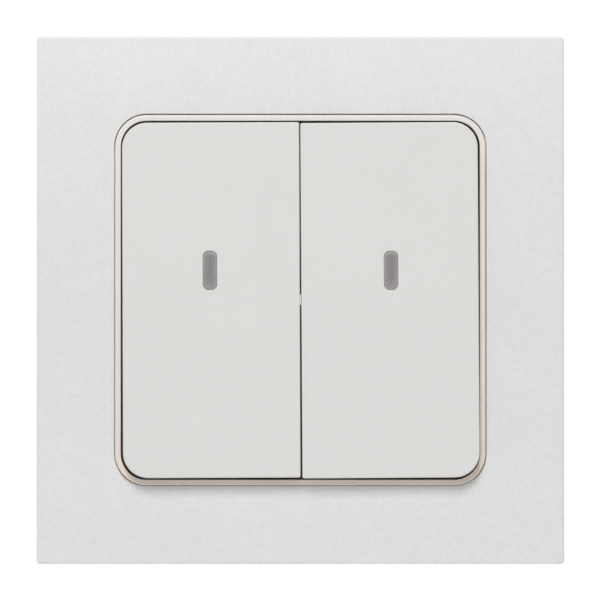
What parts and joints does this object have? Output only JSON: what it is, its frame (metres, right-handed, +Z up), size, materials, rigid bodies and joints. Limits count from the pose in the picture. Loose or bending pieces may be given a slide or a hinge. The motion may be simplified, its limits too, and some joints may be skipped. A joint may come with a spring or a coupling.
{
  "type": "wireless wall switch",
  "caption": "Flat square wireless wall switch: cover frame, raised ring and paired tall rocker caps with light windows over a clip-on radio module.",
  "frame": {"origin": "centre of the circle of the four wall screw holes, in the wall plane at the back of the wall plate", "axes": "+X right, +Z up as it hangs on the wall, +Y into the wall, so that the rockers face -Y"},
  "size_m": [0.08, 0.015, 0.08],
  "materials": {
    "frame_white": "fine matte grain",
    "ring_white": "satin",
    "rocker_white": "smooth satin",
    "lens_grey": "smoky translucent",
    "plate_grey": "moulded",
    "cover_white": "moulded",
    "steel": "bright zinc",
    "spring_steel": "nickel plated strip",
    "cell_steel": "pressed bright steel",
    "tin": "tinned",
    "copper": "bare wire",
    "board_green": "solder resist",
    "chip_black": "moulded resin",
    "switch_black": "moulded",
    "plunger_black": "moulded",
    "capacitor_tan": "sintered",
    "led_clear": "clear resin"
  },
  "bodies": {
    "root": {"cover_frame": "frame_white", "mounting_plate": "plate_grey", "module_housing": "ring_white", "rear_cover": "cover_white", "cover_screws": "steel", "circuit_board": "board_green", "coin_cell": "cell_steel", "battery_clip": "spring_steel", "contact_spring": "spring_steel", "switch_terminals": "tin", "left_led": "led_clear", "right_led": "led_clear", "radio_chip": "chip_black", "control_chip": "chip_black", "crystal": "steel", "capacitors": "capacitor_tan", "resistors": "chip_black", "antenna_wire": "copper", "left_hinge_pin": "steel", "right_hinge_pin": "steel", "left_upper_switch_base": "switch_black", "left_upper_switch_cover": "steel", "left_lower_switch_base": "switch_black", "left_lower_switch_cover": "steel", "right_upper_switch_base": "switch_black", "right_upper_switch_cover": "steel", "right_lower_switch_base": "switch_black", "right_lower_switch_cover": "steel"},
    "left_cap": {"left_rocker": "rocker_white", "left_lens": "lens_grey"},
    "left_upper_button": {"left_upper_plunger": "plunger_black"},
    "left_lower_button": {"left_lower_plunger": "plunger_black"},
    "right_cap": {"right_rocker": "rocker_white", "right_lens": "lens_grey"},
    "right_upper_button": {"right_upper_plunger": "plunger_black"},
    "right_lower_button": {"right_lower_plunger": "plunger_black"}
  },
  "joints": [
    {"name": "left_tilt", "type": "hinge", "parent": "root", "child": "left_cap", "pos_m": [-0.01354, -0.012, 0], "axis": [-1, 0, 0], "range_deg": [-2, 2], "stiffness_Nm_per_rad": 0.13},
    {"name": "left_upper_push", "type": "slide", "parent": "root", "child": "left_upper_button", "axis": [0, 1, 0], "range_m": [-0.00033, 0.00033]},
    {"name": "left_lower_push", "type": "slide", "parent": "root", "child": "left_lower_button", "axis": [0, 1, 0], "range_m": [-0.00033, 0.00033]},
    {"name": "right_tilt", "type": "hinge", "parent": "root", "child": "right_cap", "pos_m": [0.01354, -0.012, 0], "axis": [-1, 0, 0], "range_deg": [-2, 2], "stiffness_Nm_per_rad": 0.13},
    {"name": "right_upper_push", "type": "slide", "parent": "root", "child": "right_upper_button", "axis": [0, 1, 0], "range_m": [-0.00033, 0.00033]},
    {"name": "right_lower_push", "type": "slide", "parent": "root", "child": "right_lower_button", "axis": [0, 1, 0], "range_m": [-0.00033, 0.00033]}
  ],
  "couplings": [
    {"joint": "left_upper_push", "follows": "left_tilt", "m_per_rad": 0.0094491},
    {"joint": "left_lower_push", "follows": "left_tilt", "m_per_rad": -0.0094491},
    {"joint": "right_upper_push", "follows": "right_tilt", "m_per_rad": 0.0094491},
    {"joint": "right_lower_push", "follows": "right_tilt", "m_per_rad": -0.0094491}
  ]
}
